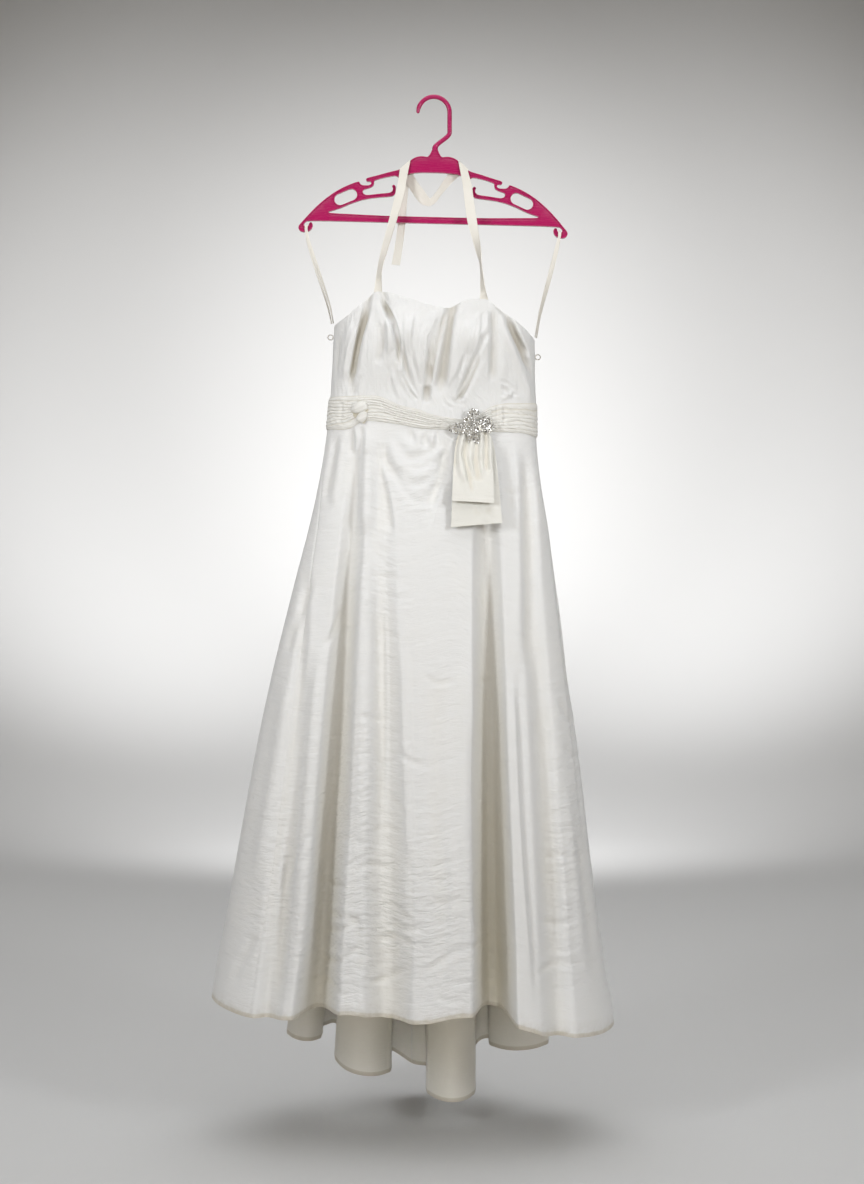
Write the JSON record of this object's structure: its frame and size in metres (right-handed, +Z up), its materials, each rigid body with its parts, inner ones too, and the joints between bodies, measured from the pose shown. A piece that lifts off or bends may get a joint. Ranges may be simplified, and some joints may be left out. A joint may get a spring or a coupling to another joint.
{
  "type": "engagement dress on clothes hanger",
  "caption": "Ivory halter-neck engagement dress with ruched waistband, crystal brooch, sash tails and a short train, hanging from a plastic clothes hanger.",
  "frame": {"origin": "inside top of the hanger's hook, where a rail or peg carries it", "axes": "+Z up, +X to the right seen from the front, and the front of the dress faces -Y"},
  "size_m": [0.6599, 0.4327, 1.6714],
  "materials": {
    "dress_cloth": "soft sheen, crosswise slub",
    "sash_cloth": "soft sheen, pleated by hand",
    "ribbon": "satin ribbon",
    "thread": "covered thread loop",
    "brooch_metal": "silver-tone settings with clear crystals",
    "hanger_plastic": "moulded gloss, raspberry"
  },
  "bodies": {
    "root": {"bodice_front": "dress_cloth", "bodice_side_left": "dress_cloth", "bodice_side_right": "dress_cloth", "bodice_back_left": "dress_cloth", "bodice_back_right": "dress_cloth", "waistband_left": "sash_cloth", "waistband_front": "sash_cloth", "waistband_right": "sash_cloth", "waistband_back": "sash_cloth", "waistband_knot": "sash_cloth", "brooch": "brooch_metal", "sash_tail_short": "sash_cloth", "sash_tail_long": "sash_cloth", "skirt_front": "dress_cloth", "skirt_back_left": "dress_cloth", "skirt_back_right": "dress_cloth", "halter_strap_left": "ribbon", "halter_strap_right": "ribbon", "halter_tail": "ribbon", "hanger_loop_left": "ribbon", "hanger_loop_right": "ribbon", "side_ring_left": "thread", "side_ring_right": "thread", "hanger_hook": "hanger_plastic", "hanger_frame": "hanger_plastic"}
  },
  "joints": []
}
